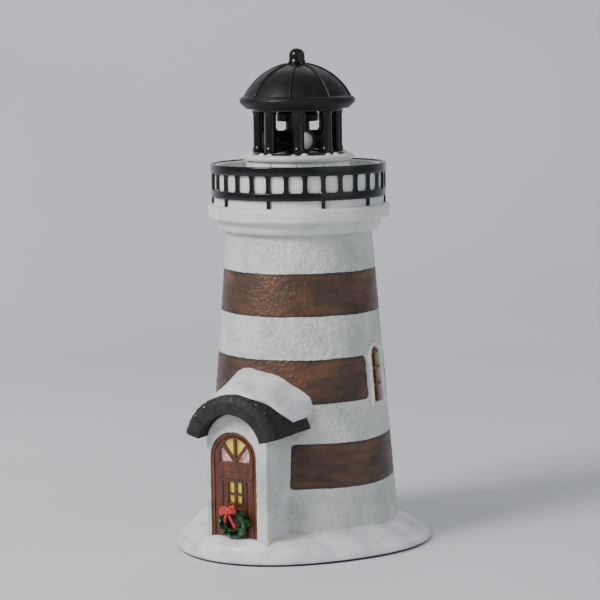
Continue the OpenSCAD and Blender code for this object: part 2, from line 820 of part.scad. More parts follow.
module battery_door() {
    color("gray") {
        difference() {
            union() {
                translate([-door_half[0], hinge_y, cover_z0])
                    cube([2 * door_half[0], door_half[1] - hinge_y, 2]);
                translate([-door_half[0], hinge_y, hinge_z]) rotate([0, 90, 0])
                    cylinder(r = 1.1, h = 2 * door_half[0]);
                translate([-door_half[0] - 1.6, hinge_y, hinge_z]) rotate([0, 90, 0])
                    cylinder(r = 0.7, h = 2 * door_half[0] + 3.2);
            }
            translate([-door_half[0] - eps, hinge_y - 3, cover_z0 - 0.5])
                cube([2 * door_half[0] + 2 * eps, 3, 0.65]);
            translate([0, door_half[1] + 2, cover_z0 - 3]) sphere(6);
            for (k = [-2 : 2]) translate([-8, 4 + 1.6 * k, cover_z0 - eps]) cube([16, 0.7, eps + 0.4]);
        }
    }
}

module switch_housing() {
    color("black") difference() {
        translate([-7, switch_y - 3.5, cover_z1 + fit]) cube([14, 7, 5.5]);
        translate([-5.6, switch_y - 2.7, cover_z1 - eps]) cube([11.2, 5.4, eps + 3.5]);
    }
}

module switch_slider() {
    color("red") translate([-switch_travel / 2, switch_y, 0]) {
        difference() {
            translate([-1.5, -1.6, cover_z0 + 0.15]) cube([3, 3.2, 3.5]);
            for (k = [-1 : 1]) translate([0.8 * k - 0.15, -2, cover_z0]) cube([0.3, 4, 0.5]);
        }
        translate([-3, -2.5, cover_z1 + 0.2]) cube([6, 5, 1.6]);
    }
}

// ---------------------------------------------------------------- wires

module motor_wires() {
    color("crimson") wire(spline([[-gear_centres, 0, 117.3], [-gear_centres, 1, 112],
        [-20, 8, 95], [-22, 14, 65], [-21, 18, 35], [-14, 20.5, 22], [-6, 22.5, 14],
        [-3, 24.5, 9.35]], 3), 0.7);
}

module beacon_wires() {
    color("gold") wire(spline([[0, 0, 171.4], [0, 0, 160], [0, 0, 148], [0, 0, 142.5],
        [1, 3, 136], [6, 13, 122], [13, 21, 100], [16, 22, 75], [14, 21, 45], [8, 20.5, 25],
        [3.6, 22.5, 14], [3, 24.5, 9.35]], 3), 0.7);
}

module lamp_wires() {
    color("red") wire(spline([[0, 0, 46], [0, 0, 38], [0, 0, 30], [0, 1.4, 26.6], [0, 5, 25.6],
        [0, 12, 24], [0, 18.5, 21], [0, 22.5, 14], [0, 24.5, 9.35]], 3), 0.6);
}

// ---------------------------------------------------------------- assembly

felt_pad();
snow_base();
tower_shell();
side_window_frame();
side_window_muntins();
side_window_pane();
porch_walls();
porch_roof();
porch_roof_snow();
door_frame();
door_leaf();
fanlight_tracery();
door_window_pane();
fanlight_pane();
door_wreath();
wreath_bow();
gallery();
gallery_railing();
lantern_pedestal();
lantern_frame();
dome_roof();
finial();
lantern_bush();
beacon_spindle();
beacon_lamp();
beacon_body();
beacon_lens_rings();
bullseye_lenses();
beacon_cap();
drive_gear();
motor_shaft();
motor_pinion();
gear_motor();
motor_screws();
drive_plate();
drive_plate_screws();
lamp_post();
lamp_post_screws();
lamp_socket();
tower_lamp_bulb();
battery_box();
battery_cells();
battery_contacts();
battery_springs();
base_cover();
cover_screws();
anchor_blocks();
battery_door();
switch_housing();
switch_slider();
motor_wires();
beacon_wires();
lamp_wires();
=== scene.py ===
import math

import bpy
from mathutils import Matrix, Vector, noise


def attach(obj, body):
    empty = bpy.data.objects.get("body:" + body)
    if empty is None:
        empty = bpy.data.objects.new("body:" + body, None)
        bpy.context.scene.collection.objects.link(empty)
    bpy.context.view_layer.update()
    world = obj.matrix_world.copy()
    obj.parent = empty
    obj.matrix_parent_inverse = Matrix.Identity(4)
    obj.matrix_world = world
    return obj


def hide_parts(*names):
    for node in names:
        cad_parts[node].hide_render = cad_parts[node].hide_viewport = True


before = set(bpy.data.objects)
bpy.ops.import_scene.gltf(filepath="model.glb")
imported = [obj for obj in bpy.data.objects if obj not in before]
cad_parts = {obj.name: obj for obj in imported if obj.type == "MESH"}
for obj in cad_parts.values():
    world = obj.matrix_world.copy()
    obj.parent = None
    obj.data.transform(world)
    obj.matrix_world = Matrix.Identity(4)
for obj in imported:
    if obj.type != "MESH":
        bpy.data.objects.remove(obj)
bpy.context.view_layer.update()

# The looks of a lighted lighthouse ornament. Shapes are worked out in millimetres, with the
# origin on the tower's axis, +Z up and the porch facing -Y. Headings are degrees from the
# porch side, positive towards +X.

MM = 0.001
TURN = 2 * math.pi

# The base: the felt's top, the tower's seat, the snow beside the walls, and the well and
# the recess under the tower
FELT_TOP_Z = 1.0
SEAT_Z = 8.6
SNOW_Z = 9.7
WELL_R = 34.5
WELL_Z = 3.8
RECESS_R = 37.5

TOWER_FOOT_R = 42.2
TOWER_NECK_R = 31.6
TOWER_TOP_Z = 136.5
TOWER_WALL = 3.5
TOWER_LEAN = math.atan((TOWER_FOOT_R - TOWER_NECK_R) / (TOWER_TOP_Z - SEAT_Z))

# The side window: the middle of its height, and its frame
WINDOW_Z = 74.8
WINDOW_HALF_W = 5.8
WINDOW_HALF_H = 13.8
WINDOW_BORDER = 1.9

# The porch: its front face is PORCH_FACE in front of the axis, and its arch springs at
# PORCH_SPRING_Z, where the barrel roof has its centre
PORCH_HALF_W = 15.0
PORCH_FACE = 57.3
PORCH_SPRING_Z = 49.2
PORCH_FRONT_WALL = 3.0
ROOF_IN_R = 15.1
ROOF_R = 22.8
ROOF_FRONT = 63.3
ROOF_TIP_ANGLE = 14.6

# The door, a little left of the porch's middle; its fanlight's outer bars go FAN_SLOPE
# aside for every 1 up
DOOR_X = -1.5
DOOR_FRAME_HALF_W = 11.0
DOOR_FRAME_BORDER = 2.25
DOOR_SPRING_Z = 44.6
DOOR_BACK = 54.4
DOOR_TRANSOM_Z = 36.5
FAN_FOOT_Z = 42.7
FAN_SLOPE = 0.78

# The middle of the wreath's ring, and the ring's radius
WREATH_AT = (DOOR_X + 0.3, -(DOOR_BACK + 3.5), 16.7)
WREATH_R = 4.9

# The painted bands: lower edge, upper edge, the gap's heading and half its width
BANDS = ((28.8, 48.0, 0, 14.9), (64.9, 83.8, 95.5, 10.5), (101.9, 120.2, None, 0))

# The gallery's railing, and the joints in the masonry ring under the lantern
RAIL_IN_R = 36.9
RAIL_BARS = 30
RAIL_POSTS = 10
RAIL_HEADING = 9
PLINTH_JOINTS = 12

# The lantern: its columns stand in a ring, the first of them at COLUMN_HEADING, and the
# dome is part of a ball with its middle at DOME_CENTRE_Z
COLUMNS = 8
COLUMN_RING_R = 16.9
COLUMN_R = 2.8
COLUMN_HEADING = 30
DOME_R = 25.7
DOME_CENTRE_Z = 182.6
DOME_RIBS = 8

# The camera, in metres and degrees
VIEW_HEADING = 28.9
VIEW_DISTANCE = 0.907
VIEW_HEIGHT = 0.2187
VIEW_ANGLE = 16.4
VIEW_ROLL = -0.75
AIM = (0.0, 0.0, 0.105)


# ---------------- shapes

def heading(angle):
    """The direction of a heading in the plane."""
    return math.sin(math.radians(angle)), -math.cos(math.radians(angle))


def around(count, whole=360):
    """Equal steps round a circle, in degrees unless whole is TURN."""
    return [whole * k / count for k in range(count)]


def quarter(steps):
    """Equal steps through a quarter turn, with both ends."""
    return [math.pi / 2 * k / steps for k in range(steps + 1)]


def level_ring(angles, radius, z):
    """A level ring of points round the axis."""
    return [(radius * x, radius * y, z) for x, y in map(heading, angles)]


def smooth(t):
    """An S-shaped rise from 0 to 1."""
    t = min(1.0, max(0.0, t))
    return t * t * (3 - 2 * t)


def bell(value, centre, width):
    """1 at the centre, falling to 0 on both sides."""
    return math.exp(-((value - centre) / width) ** 2)


def tower_r(z):
    """The tower's outer radius at a height."""
    return TOWER_FOOT_R + (TOWER_NECK_R - TOWER_FOOT_R) * (z - SEAT_Z) / (TOWER_TOP_Z - SEAT_Z)


def lumps(point, size, depth, octaves=2):
    """Rounded random relief with lumps about size across."""
    return depth * noise.fractal(Vector(point) / size, 0.8, 2.1, octaves)


def rounded(corners, radius, steps=4):
    """A closed outline with its corners rounded off."""
    outline = []
    for i, corner in enumerate(corners):
        here = Vector(corner)
        before = Vector(corners[i - 1]) - here
        after = Vector(corners[(i + 1) % len(corners)]) - here
        reach = min(radius, 0.45 * before.length, 0.45 * after.length)
        start = here + before.normalized() * reach
        end = here + after.normalized() * reach
        for k in range(steps + 1):
            t = k / steps
            outline.append(tuple(start * (1 - t) ** 2 + here * (2 * t * (1 - t)) + end * t * t))
    return outline


def inset(outline, distance):
    """A counterclockwise outline moved inwards by a distance."""
    moved = []
    for i, corner in enumerate(outline):
        here = Vector(corner)
        along = (here - Vector(outline[i - 1])).normalized()
        onward = (Vector(outline[(i + 1) % len(outline)]) - here).normalized()
        normal = Vector((-along.y - onward.y, along.x + onward.x)).normalized()
        lean = max(0.4, normal.dot(Vector((-along.y, along.x))))
        moved.append(tuple(here + normal * distance / lean))
    return moved


def finer(outline, step):
    """The same closed outline with points no further apart than about two steps."""
    points = []
    for a, b in zip(outline, outline[1:] + outline[:1]):
        count = max(1, int(math.hypot(b[0] - a[0], b[1] - a[1]) / step))
        points += [(a[0] + (b[0] - a[0]) * k / count, a[1] + (b[1] - a[1]) * k / count)
                   for k in range(count)]
    return points


def box_outline(u0, v0, u1, v1):
    """A rectangle as a counterclockwise outline."""
    return [(u0, v0), (u1, v0), (u1, v1), (u0, v1)]


def arch_outline(half_w, foot_z, spring_z, x=0.0, side_steps=16, arc_steps=32):
    """An upright arch as a counterclockwise outline, from its right foot to its left foot."""
    right = [(x + half_w, foot_z + (spring_z - foot_z) * k / side_steps) for k in range(side_steps)]
    turn = [math.pi * k / arc_steps for k in range(arc_steps + 1)]
    arc = [(x + half_w * math.cos(a), spring_z + half_w * math.sin(a)) for a in turn]
    left = [(2 * x - u, v) for u, v in reversed(right)]
    return right + arc + left


def facing_front(u, v, out):
    """A point of an upright drawing that faces the porch side."""
    return u, -out, v


def at_side_window(u, v, out):
    """A point of an upright drawing laid on the tower's +X side, leaning with its wall."""
    x = out * math.cos(TOWER_LEAN) - v * math.sin(TOWER_LEAN)
    z = out * math.sin(TOWER_LEAN) + v * math.cos(TOWER_LEAN)
    return tower_r(WINDOW_Z) + x, u, WINDOW_Z + z


def at_heading(angle, radius):
    """A placing function: out is away from the axis, u is sideways and v is height."""
    x, y = heading(angle)
    return lambda u, v, out: ((radius + out) * x - u * y, (radius + out) * y + u * x, v)


def added(name, data):
    """A new object in the scene."""
    made = bpy.data.objects.new(name, data)
    bpy.context.scene.collection.objects.link(made)
    return made


class Shape:
    """Points and faces in millimetres, gathered until they become one piece."""

    def __init__(self):
        self.points = []
        self.faces = []

    def loft(self, rows, ring=True, closed=False, caps=False, skip=None):
        """Joins rows of points; ring closes each row and closed joins the last to the first."""
        first = len(self.points)
        count = len(rows[0])
        for row in rows:
            self.points += map(tuple, row)
        for j in range(len(rows) if closed else len(rows) - 1):
            onward = (j + 1) % len(rows)
            for i in range(count if ring else count - 1):
                beside = (i + 1) % count
                face = (first + j * count + i, first + j * count + beside,
                        first + onward * count + beside, first + onward * count + i)
                if skip and skip(sum((Vector(self.points[k]) for k in face), Vector()) / 4):
                    continue
                self.faces.append(face)
        if caps:
            self.faces.append(tuple(first + i for i in reversed(range(count))))
            self.faces.append(tuple(first + (len(rows) - 1) * count + i for i in range(count)))
        return self

    def lathe(self, profile, angles=None, centre=(0.0, 0.0), closed=True, radius=None):
        """Turns a profile of (radius, height) about an upright axis."""
        rows = []
        for r, z in profile:
            row = []
            for angle in angles or around(192):
                x, y = heading(angle)
                reach = radius(r, z, angle) if radius else r
                row.append((centre[0] + reach * x, centre[1] + reach * y, z))
            rows.append(row)
        return self.loft(rows, closed=closed)

    def slab(self, outline, near, far, bevel, place=facing_front):
        """A flat outline given thickness from near to far, with bevelled edges."""
        inner = inset(outline, bevel)
        levels = ((inner, near), (outline, near + bevel), (outline, far - bevel), (inner, far))
        return self.loft([[place(u, v, out) for u, v in ring] for ring, out in levels], caps=True)

    def moulding(self, outline_at, profile, place=facing_front):
        """A frame: profile points (inset, out) swept round the outlines for each inset."""
        rows = [[place(u, v, out) for u, v in outline_at(depth)] for depth, out in profile]
        return self.loft(rows, closed=True)

    def tube(self, route, radius, sides=10):
        """A round bar along a route, with closed ends."""
        rows = []
        side = None
        for i, point in enumerate(route):
            ahead = Vector(route[min(i + 1, len(route) - 1)]) - Vector(route[max(i - 1, 0)])
            ahead.normalize()
            side = side or ahead.orthogonal()
            side = (side - ahead * side.dot(ahead)).normalized()
            across = ahead.cross(side)
            rows.append([Vector(point) + radius * (math.cos(a) * side + math.sin(a) * across)
                         for a in around(sides, TURN)])
        return self.loft(rows, caps=True)

    def piece(self, name, material, slot, nodes=(), body="house", relief=None, crease=38):
        """Makes the Blender piece; relief(point) moves the surface outwards in millimetres."""
        mesh = bpy.data.meshes.new(name)
        mesh.from_pydata([Vector(p) * MM for p in self.points], [], self.faces)
        mesh.materials.append(material)
        if relief:
            normals = [v.normal.copy() for v in mesh.vertices]
            for vertex, normal in zip(mesh.vertices, normals):
                vertex.co += normal * relief(vertex.co / MM) * MM
        mesh.shade_smooth()
        mesh.set_sharp_from_angle(angle=math.radians(crease))
        made = added(name, mesh)
        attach(made, body)
        if nodes:
            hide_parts(*nodes)
        return made


# ---------------- finishes

def screen(r, g, b):
    """A colour from screen values of 0 to 255."""
    values = [c / 255 for c in (r, g, b)]
    linear = [c / 12.92 if c <= 0.04045 else ((c + 0.055) / 1.055) ** 2.4 for c in values]
    return (*linear, 1.0)


# Colours from dark to light
WHITE = screen(255, 255, 255)
SNOW_TINTS = screen(207, 206, 214), screen(241, 239, 240)
STUCCO_TINTS = screen(188, 192, 188), screen(222, 224, 219)
GLAZE_TINTS = screen(206, 209, 208), screen(232, 233, 231)
BAND_TINTS = screen(66, 44, 30), screen(92, 60, 38), screen(110, 70, 40)
DOOR_TINTS = screen(52, 26, 12), screen(106, 52, 24), screen(138, 74, 36)
LEAF_TINTS = screen(42, 21, 11), screen(88, 43, 20), screen(114, 60, 30)
BLACK = screen(5, 5, 6)
BLACK_PLASTIC = screen(10, 10, 12)
FLOOR_TINTS = screen(214, 215, 220), screen(222, 223, 228)


class Finish:
    """A procedural material in the making."""

    def __init__(self, name, **settings):
        self.material = bpy.data.materials.new(name)
        self.material.use_nodes = True
        self.nodes = self.material.node_tree.nodes
        self.link = self.material.node_tree.links.new
        self.shader = self.nodes["Principled BSDF"]
        for label, value in settings.items():
            self.shader.inputs[label.replace("_", " ")].default_value = value
        self.place = self.nodes.new("ShaderNodeTexCoord").outputs["Object"]
        self.normal = None

    def stretched(self, x, y, z):
        """Coordinates that make noise finer along an axis as its number grows."""
        node = self.nodes.new("ShaderNodeMapping")
        node.inputs["Scale"].default_value = (x, y, z)
        self.link(self.place, node.inputs["Vector"])
        return node.outputs["Vector"]

    def noise(self, size, detail=3.0, where=None):
        """Noise with lumps about size millimetres across."""
        node = self.nodes.new("ShaderNodeTexNoise")
        node.inputs["Scale"].default_value = 1 / (size * MM)
        node.inputs["Detail"].default_value = detail
        self.link(where or self.place, node.inputs["Vector"])
        return node.outputs["Fac"]

    def axis(self, name):
        """One of the place's coordinates, in metres: Z is the height above the table."""
        node = self.nodes.new("ShaderNodeSeparateXYZ")
        self.link(self.place, node.inputs["Vector"])
        return node.outputs[name]

    def attribute(self, name):
        """A number that the mesh holds for each of its points."""
        node = self.nodes.new("ShaderNodeAttribute")
        node.attribute_name = name
        return node.outputs["Fac"]

    def math(self, operation, first, second):
        """A sum on two values, each a node's output or a number."""
        node = self.nodes.new("ShaderNodeMath")
        node.operation = operation
        for socket, value in zip(node.inputs, (first, second)):
            self.feed(socket, value)
        return node.outputs["Value"]

    def feed(self, socket, value):
        """Links a node's output to a socket, or sets the socket to a constant."""
        if isinstance(value, bpy.types.NodeSocket):
            self.link(value, socket)
        else:
            socket.default_value = value

    def rescale(self, value, low, high, to_low=0.0, to_high=1.0):
        """Maps values from low-high to to_low-to_high, held at the ends."""
        node = self.nodes.new("ShaderNodeMapRange")
        self.link(value, node.inputs["Value"])
        for label, number in (("From Min", low), ("From Max", high),
                              ("To Min", to_low), ("To Max", to_high)):
            node.inputs[label].default_value = number
        return node.outputs["Result"]

    def ramp(self, value, *stops):
        """A colour for each value, from stops of (value, colour)."""
        node = self.nodes.new("ShaderNodeValToRGB")
        marks = node.color_ramp.elements
        marks[0].position, marks[0].color = stops[0]
        marks[1].position, marks[1].color = stops[-1]
        for position, colour in stops[1:-1]:
            marks.new(position).color = colour
        self.link(value, node.inputs["Fac"])
        return node.outputs["Color"]

    def mix(self, factor, first, second, blend="MIX"):
        """The first colour at a factor of 0 and the second, or their blend, at 1."""
        node = self.nodes.new("ShaderNodeMixRGB")
        node.blend_type = blend
        self.feed(node.inputs["Fac"], factor)
        self.feed(node.inputs["Color1"], first)
        self.feed(node.inputs["Color2"], second)
        return node.outputs["Color"]

    def colour(self, value):
        self.feed(self.shader.inputs["Base Color"], value)
        return self

    def gloss(self, value, low, high):
        """Sets a roughness that goes from low to high as the value rises."""
        return self.roughness(self.rescale(value, 0.3, 0.7, low, high))

    def roughness(self, value):
        self.feed(self.shader.inputs["Roughness"], value)
        return self

    def glow(self, tint, strength):
        """Colours the surface and lights it from behind."""
        self.feed(self.shader.inputs["Emission Color"], tint)
        self.shader.inputs["Emission Strength"].default_value = strength
        return self.colour(tint)

    def bump(self, height, depth):
        """Fine relief of a depth in millimetres, on top of any earlier one."""
        node = self.nodes.new("ShaderNodeBump")
        node.inputs["Distance"].default_value = depth * MM
        self.link(height, node.inputs["Height"])
        if self.normal:
            self.link(self.normal, node.inputs["Normal"])
        self.normal = node.outputs["Normal"]
        self.link(self.normal, self.shader.inputs["Normal"])
        return self


def mottled(name, dark, light, size=3.0, grain=0.4, depth=0.01, rough=(0.35, 0.5), **settings):
    """A plain surface between two tints, with soft variation, fine grain and uneven gloss."""
    finish = Finish(name, **settings)
    finish.colour(finish.ramp(finish.noise(size, 4), (0.35, screen(*dark)), (0.65, screen(*light))))
    finish.gloss(finish.noise(size * 0.4), *rough)
    return finish.bump(finish.noise(grain, 2), depth).material


def snow_finish(name):
    """Glazed white snow, greyer in its drifts, with fine grains."""
    finish = Finish(name, Coat_Weight=0.25, Coat_Roughness=0.25)
    drift = finish.ramp(finish.noise(11, 4), *zip((0.3, 0.6), SNOW_TINTS))
    grains = finish.ramp(finish.noise(0.9, 2), (0.35, screen(222, 224, 234)), (0.55, WHITE))
    finish.colour(finish.mix(0.4, drift, grains, "MULTIPLY"))
    finish.gloss(finish.noise(1.6), 0.35, 0.65)
    return finish.bump(finish.noise(1.1, 3), 0.06).bump(finish.noise(4, 2), 0.12).material


def stucco_finish(name, tints, depth, painted=False):
    """Off-white glazed stucco with painted shade in its pits; with painted, brown bands where the
    surface says so.
    """
    finish = Finish(name, Coat_Weight=0.2, Coat_Roughness=0.3)
    weather = finish.ramp(finish.noise(16, 5), *zip((0.3, 0.65), tints))
    pits = finish.noise(1.7, 3)
    # Painted shade: the pits' low spots, where the bump sinks the surface, are tinted grey
    pit_shade = finish.ramp(pits, (0.32, screen(206, 210, 208)), (0.52, WHITE))
    white = finish.mix(0.3, weather, pit_shade, "MULTIPLY")
    white_rough = finish.rescale(pits, 0.3, 0.7, 0.62, 0.38)
    finish.bump(pits, depth).bump(finish.noise(0.6, 2), 0.05)
    if not painted:
        return finish.colour(white).roughness(white_rough).material
    edge = finish.attribute("paint_mm")
    ragged = finish.rescale(finish.noise(1.3, 3), 0.0, 1.0, -0.3, 0.3)
    covered = finish.rescale(finish.math("ADD", edge, ragged), -0.12, 0.12)
    streaks = finish.noise(6, 4, finish.stretched(0.5, 0.5, 1.8))
    wood = finish.ramp(streaks, *zip((0.32, 0.5, 0.68), BAND_TINTS))
    patches = finish.ramp(finish.noise(24, 3), (0.36, screen(140, 150, 125)),
                          (0.58, screen(255, 252, 246)))
    wood = finish.mix(0.8, wood, patches, "MULTIPLY")
    worn = finish.ramp(finish.rescale(edge, 0.0, 1.6), (0.0, screen(120, 125, 105)), (1.0, WHITE))
    wood = finish.mix(1.0, wood, worn, "MULTIPLY")
    finish.colour(finish.mix(covered, white, wood))
    band_rough = finish.rescale(streaks, 0.3, 0.7, 0.5, 0.36)
    rough = finish.math("ADD", finish.math("MULTIPLY", covered, band_rough),
                        finish.math("MULTIPLY", finish.math("SUBTRACT", 1.0, covered), white_rough))
    return finish.roughness(rough).material


def wood_finish(name, tints):
    """Brushed red-brown paint with upright streaks of uneven tone, darkest in their hollows as
    painted shade.
    """
    finish = Finish(name, Coat_Weight=0.3, Coat_Roughness=0.25)
    streaks = finish.noise(2.2, 5, finish.stretched(2.6, 2.6, 0.3))
    # The streaks' low parts, which the bump sinks, take the darkest tint: painted shade in the
    # brush hollows
    finish.colour(finish.ramp(streaks, *zip((0.3, 0.5, 0.7), tints)))
    finish.gloss(streaks, 0.55, 0.36)
    return finish.bump(streaks, 0.12).bump(finish.noise(0.5, 2), 0.03).material


def black_finish(name, rough, tint=BLACK, coat=0.35, depth=0.03):
    """Black enamel that has pooled a little unevenly."""
    finish = Finish(name, Coat_Weight=coat, Coat_Roughness=0.12, Specular_IOR_Level=0.3)
    finish.colour(finish.ramp(finish.noise(5, 4), (0.35, tint), (0.7, screen(14, 15, 17))))
    finish.gloss(finish.noise(2.2, 3), *rough)
    return finish.bump(finish.noise(1.4, 3), depth).material


def roof_finish(name):
    """Matt dark brown-black paint with pale specks where snow has caught on the grain."""
    finish = Finish(name)
    base = finish.ramp(finish.noise(4, 4), (0.35, screen(16, 15, 14)), (0.65, screen(38, 34, 31)))
    speck = finish.rescale(finish.noise(0.8, 2), 0.7, 0.76)
    finish.colour(finish.mix(speck, base, screen(120, 118, 112)))
    finish.gloss(finish.noise(1.5), 0.55, 0.8)
    return finish.bump(finish.noise(0.9, 4), 0.18).material


def glowing_finish(name, stops, strength):
    """A lit pane, its colour changing with height between (height in mm, colour) stops."""
    finish = Finish(name, Roughness=0.3, Coat_Weight=0.4)
    low, high = stops[0][0], stops[-1][0]
    share = finish.rescale(finish.axis("Z"), low * MM, high * MM)
    tint = finish.ramp(share, *[((z - low) / (high - low), colour) for z, colour in stops])
    cloud = finish.ramp(finish.noise(3, 2), (0.3, screen(205, 190, 150)), (0.65, WHITE))
    finish.glow(finish.mix(0.8, tint, cloud, "MULTIPLY"), strength)
    return finish.bump(finish.noise(1.2, 2), 0.04).material


def fanlight_finish(name):
    """The fanlight: lit yellow in its two middle lights, pinkish white at its sides."""
    finish = Finish(name, Roughness=0.3, Coat_Weight=0.4)
    x, z = finish.axis("X"), finish.axis("Z")
    aside = finish.math("ABSOLUTE", finish.math("SUBTRACT", x, DOOR_X * MM), 0.0)
    up = finish.math("SUBTRACT", z, FAN_FOOT_Z * MM)
    beyond = finish.math("SUBTRACT", aside, finish.math("MULTIPLY", up, FAN_SLOPE))
    side = finish.rescale(beyond, -0.0002, 0.0002)
    yellow = finish.ramp(finish.noise(2.2, 2), (0.35, screen(196, 176, 60)),
                         (0.65, screen(216, 204, 88)))
    blush = finish.ramp(finish.noise(1.6, 2), (0.4, screen(176, 110, 92)),
                        (0.6, screen(216, 190, 186)))
    finish.glow(finish.mix(side, yellow, blush), 0.55)
    return finish.bump(finish.noise(1.2, 2), 0.04).material


def felt_finish(name):
    """Dark felt with matted fibres."""
    finish = Finish(name, Roughness=0.95, Sheen_Weight=0.5, Sheen_Roughness=0.5)
    fibres = finish.noise(0.5, 6, finish.stretched(1, 0.3, 1))
    finish.colour(finish.ramp(fibres, (0.35, screen(26, 28, 34)), (0.65, screen(62, 64, 74))))
    return finish.bump(fibres, 0.15).material


def leaf_finish(name):
    """Painted leaves: dark green with lighter, yellower tips."""
    finish = Finish(name, Coat_Weight=0.3, Coat_Roughness=0.3)
    finish.colour(finish.ramp(finish.noise(1.7, 3), (0.36, screen(8, 30, 24)),
                              (0.5, screen(24, 72, 44)), (0.64, screen(70, 128, 62))))
    finish.gloss(finish.noise(1), 0.35, 0.6)
    return finish.bump(finish.noise(0.6, 2), 0.08).material


snow = snow_finish("glazed_snow")
stucco = stucco_finish("glazed_stucco", STUCCO_TINTS, 0.7)
banded_stucco = stucco_finish("banded_stucco", STUCCO_TINTS, 0.9, painted=True)
white_glaze = stucco_finish("white_glaze", GLAZE_TINTS, 0.08)
trim = mottled("window_trim_paint", (206, 208, 205), (228, 229, 226), 2.5, 0.6, 0.06)
enamel = black_finish("black_enamel", (0.14, 0.28))
dome_paint = black_finish("dome_paint", (0.38, 0.6), coat=0.1, depth=0.06)
head_plastic = black_finish("head_plastic", (0.3, 0.45), BLACK_PLASTIC, 0.1, 0.01)
roof_paint = roof_finish("porch_roof_paint")
door_paint = wood_finish("door_paint", DOOR_TINTS)
leaf_paint = wood_finish("door_leaf_paint", LEAF_TINTS)
door_glow = glowing_finish(
    "door_pane_glow", [(24, screen(204, 186, 74)), (34, screen(212, 204, 96))], 0.6)
fan_glow = fanlight_finish("fanlight_glow")
window_glow = glowing_finish(
    "side_window_glow",
    [(60, screen(52, 34, 20)), (67, screen(132, 74, 30)), (76, screen(112, 108, 44)),
     (88, screen(122, 132, 66))], 0.25)
leaves = leaf_finish("wreath_leaves")
ribbon = mottled("ribbon_paint", (150, 22, 18), (206, 50, 40), 2.0, 0.8, 0.05,
                 (0.28, 0.4), Coat_Weight=0.5, Coat_Roughness=0.2)
felt = felt_finish("base_felt")


def metal(name, dark, light):
    """Bare metal between two tints."""
    return mottled(name, dark, light, 2.0, 0.3, 0.01, (0.2, 0.35), Metallic=1.0)


# The CAD nodes that stay as they are, by finish
CAD_FINISHES = {
    felt: ["felt_pad"],
    leaf_paint: ["door_leaf", "fanlight_tracery"],
    mottled("muntin_paint", (96, 60, 34), (128, 84, 48), 2, 0.5, 0.05): ["side_window_muntins"],
    door_glow: ["door_window_pane"],
    fan_glow: ["fanlight_pane"],
    window_glow: ["side_window_pane"],
    head_plastic: ["beacon_body", "beacon_lens_rings", "beacon_cap", "switch_housing"],
    mottled("bullseye_acrylic", (226, 228, 224), (250, 250, 246), 2, 0.5, 0.01,
            (0.08, 0.16), Coat_Weight=1.0, Transmission_Weight=0.15, IOR=1.49): ["bullseye_lenses"],
    mottled("lamp_glass", (236, 226, 200), (250, 244, 224), 2, 0.5, 0.01,
            (0.05, 0.12), Coat_Weight=1.0): ["beacon_lamp", "tower_lamp_bulb"],
    mottled("gear_plastic", (214, 208, 190), (232, 226, 208)): ["drive_gear", "motor_pinion"],
    mottled("white_plastic", (214, 214, 210), (232, 232, 228)): ["lamp_socket", "lantern_bush"],
    mottled("grey_plastic", (116, 118, 120), (126, 128, 130), 3, 0.4, 0.02, (0.4, 0.6)): [
        "drive_plate", "lamp_post", "base_cover", "anchor_blocks", "battery_door"],
    mottled("box_plastic", (70, 72, 76), (92, 94, 98), 3, 0.4, 0.02, (0.4, 0.6)): ["battery_box"],
    mottled("switch_red", (150, 24, 20), (184, 38, 30), 2, 0.4, 0.01, (0.3, 0.45)): [
        "switch_slider"],
    metal("bright_steel", (150, 152, 156), (190, 192, 196)): [
        "beacon_spindle", "motor_shaft", "motor_screws", "drive_plate_screws",
        "lamp_post_screws", "cover_screws", "battery_springs", "gear_motor"],
    metal("contact_brass", (176, 142, 70), (214, 178, 98)): ["battery_contacts"],
    mottled("cell_sleeve", (34, 36, 44), (52, 56, 68), 4, 0.5, 0.01,
            (0.2, 0.3), Coat_Weight=0.6): ["battery_cells"],
    mottled("wire_pvc", (120, 26, 22), (160, 40, 32), 1.5, 0.4, 0.01): [
        "motor_wires", "beacon_wires", "lamp_wires"],
}
for finish, names in CAD_FINISHES.items():
    for name in names:
        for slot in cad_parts[name].material_slots:
            slot.material = finish


# ---------------- base

def outline_r(angle):
    """The base's radius at a heading; it bulges in front of the door."""
    turn = math.radians(angle)
    return (55.2 + 2.2 * math.cos(turn + math.radians(20))
            + 3.3 * math.cos(3 * (turn + math.radians(15)))
            + 4 * max(0.0, math.cos(turn - math.radians(14))) ** 3)


def signed(angle):
    """An angle between -180 and 180."""
    return (angle + 180) % 360 - 180


def snow_height(angle, inward):
    """The snow's height at a heading and a distance in from the outline."""
    front = max(0.0, math.cos(math.radians(angle - 5))) ** 4
    rim = 2.5 + 4.2 * front
    turn = signed(angle)
    foot = SNOW_Z + 3.4 * bell(turn, -55, 26) + 0.9 * bell(turn, 65, 30) - bell(abs(turn), 180, 70)
    edge = 1 - min(1.0, inward / 2.5)
    run_up = smooth((inward - 1) / (12 - 8 * front))
    return FELT_TOP_Z + rim * math.sqrt(1 - edge * edge) + (foot - FELT_TOP_Z - rim) * run_up


def wall_distance(x, y):
    """How far a point of the base is from the tower's or the porch's wall."""
    from_tower = math.hypot(x, y) - TOWER_FOOT_R
    if y > 0:
        return max(0.0, from_tower)
    from_porch = math.hypot(max(0.0, abs(x) - PORCH_HALF_W), max(0.0, -y - PORCH_FACE))
    return max(0.0, min(from_tower, from_porch))


